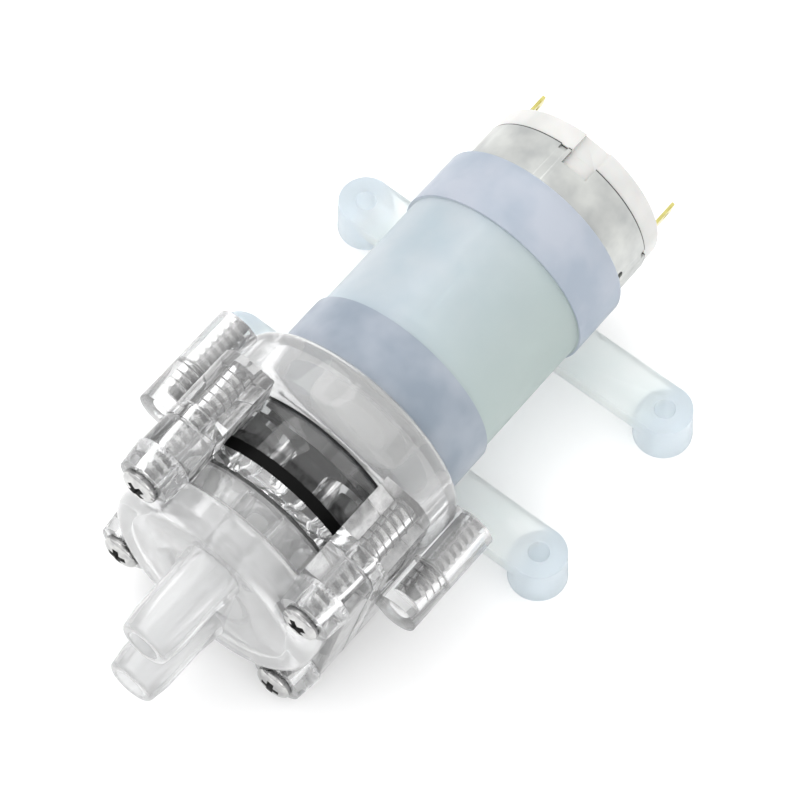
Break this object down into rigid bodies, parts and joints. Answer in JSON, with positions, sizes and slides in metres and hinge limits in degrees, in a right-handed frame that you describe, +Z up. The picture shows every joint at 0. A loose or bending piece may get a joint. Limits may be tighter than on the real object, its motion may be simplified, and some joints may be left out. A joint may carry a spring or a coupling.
{
  "type": "diaphragm pump",
  "caption": "Small motor-driven diaphragm pump with a clear round head, two hose spouts in front and a soft sleeve with four legs.",
  "frame": {"origin": "middle of the four foot holes, on the plane the feet stand on", "axes": "+Z up from the feet, +Y along the motor's axis towards its terminals, the spouts point towards -Y"},
  "size_m": [0.0614, 0.0993, 0.0409],
  "materials": {
    "silicone_sleeve": "translucent satin",
    "can_steel": "zinc plated, satin",
    "magnet": "matte ferrite",
    "spring_steel": "bright",
    "bronze": "sintered, matte",
    "nylon": "off-white, satin",
    "brass": "bright",
    "copper": "bright copper",
    "carbon": "matte graphite",
    "screw_steel": "nickel plated",
    "clear_plastic": "water-clear, polished",
    "black_rubber": "matte",
    "valve_silicone": "milky, soft",
    "seal_silicone": "milky, soft",
    "shaft_steel": "ground",
    "core_steel": "laminated, dull",
    "enamelled_wire": "enamelled copper",
    "phenolic": "brown, matte",
    "fibre": "red-brown fibre",
    "wheel_plastic": "pale, satin",
    "acetal": "grey, satin"
  },
  "bodies": {
    "frame": {"mounting_sleeve": "silicone_sleeve", "motor_can": "can_steel", "field_magnets": "magnet", "magnet_clip": "spring_steel", "front_bearing": "bronze", "rear_bearing": "bronze", "end_cap": "nylon", "terminals": "brass", "brush_arms": "copper", "carbon_brushes": "carbon", "motor_screws": "screw_steel", "crankcase": "clear_plastic", "cup_seat": "clear_plastic", "rear_screws": "screw_steel", "diaphragm": "black_rubber", "valve_plate": "clear_plastic", "inlet_valves": "valve_silicone", "outlet_valve": "valve_silicone", "manifold_body": "clear_plastic", "face_seal": "seal_silicone", "spout_cover": "clear_plastic", "front_screws": "screw_steel"},
    "rotor": {"motor_shaft": "shaft_steel", "armature_core": "core_steel", "armature_windings": "enamelled_wire", "commutator_base": "phenolic", "commutator_segments": "copper", "thrust_washers": "fibre", "eccentric_wheel": "wheel_plastic", "crank_pin": "shaft_steel"},
    "wobbler": {"wobble_plate": "acetal", "diaphragm_feet": "black_rubber"}
  },
  "joints": [
    {"name": "rotor_spin", "type": "hinge", "parent": "frame", "child": "rotor", "pos_m": [0, -0.0097, 0.0206], "axis": [0, -1, 0], "continuous": true},
    {"name": "wobble", "type": "hinge", "parent": "rotor", "child": "wobbler", "pos_m": [0, -0.0297, 0.0206], "axis": [-0.0253, -0.9925, -0.1192], "continuous": true}
  ],
  "couplings": [
    {"joint": "wobble", "follows": "rotor_spin", "ratio": -1}
  ]
}
